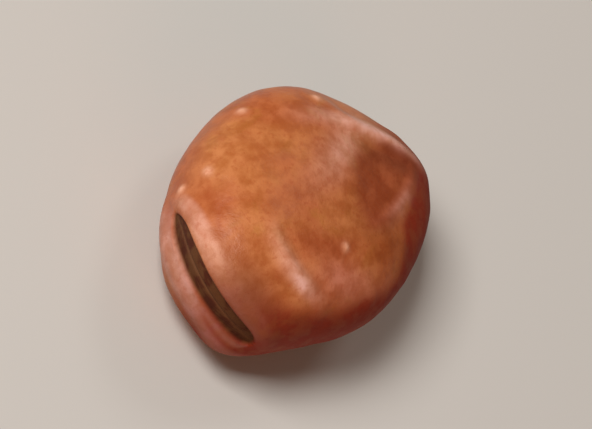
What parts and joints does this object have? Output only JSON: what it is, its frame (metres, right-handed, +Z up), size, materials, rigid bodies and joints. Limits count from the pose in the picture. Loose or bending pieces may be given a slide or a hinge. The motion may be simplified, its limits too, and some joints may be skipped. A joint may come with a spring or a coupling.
{
  "type": "dried broad bean",
  "caption": "Dried broad bean, flattened and blunt at one end, with a dark scar between pale lips on that end and a dented, ridged face; lies on its flatter side.",
  "frame": {"origin": "under the middle of the seed, on the surface that it rests on", "axes": "+X toward the blunt end with the scar, +Y across the seed, +Z up out of its upper broad face"},
  "size_m": [0.0206, 0.0156, 0.009],
  "materials": {
    "seed_coat": "satin, leathery red-brown seed coat, mottled tan and maroon, with a dark brown scar between paler lips"
  },
  "bodies": {
    "root": {"bean": "seed_coat"}
  },
  "joints": []
}
